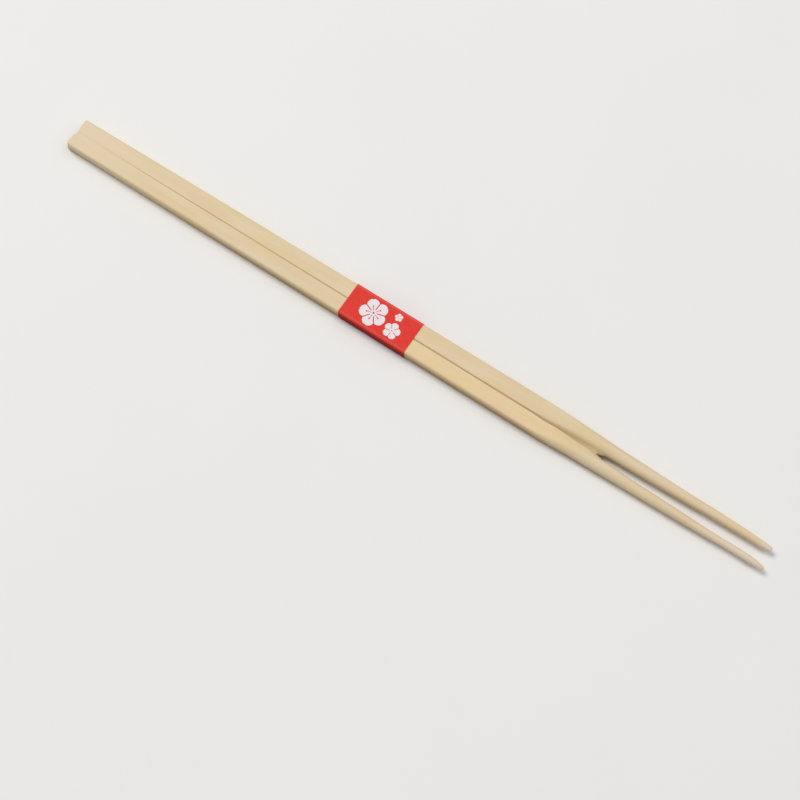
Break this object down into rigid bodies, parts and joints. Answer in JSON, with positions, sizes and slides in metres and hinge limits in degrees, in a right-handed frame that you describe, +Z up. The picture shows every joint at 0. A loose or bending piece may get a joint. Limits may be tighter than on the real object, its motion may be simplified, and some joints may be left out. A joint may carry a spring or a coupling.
{
  "type": "twin bamboo chopsticks in a paper band",
  "caption": "Disposable twin chopsticks cut from one bamboo slat, square-shouldered body with a split groove and round tapered tips, held in a plain folded paper band.",
  "frame": {"origin": "centre of the bounding box in plan, on the surface the banded pair lies on (underside of the paper band's glued lap)", "axes": "+X along the sticks from the square heads to the turned tips, +Y across the pair towards its far half, +Z up through the thickness, away from the lap"},
  "size_m": [0.2409, 0.0108, 0.005],
  "materials": {
    "bamboo": "satin",
    "band_paper": "matte"
  },
  "bodies": {
    "root": {"twin_chopstick_blank": "bamboo", "paper_band": "band_paper"}
  },
  "joints": []
}
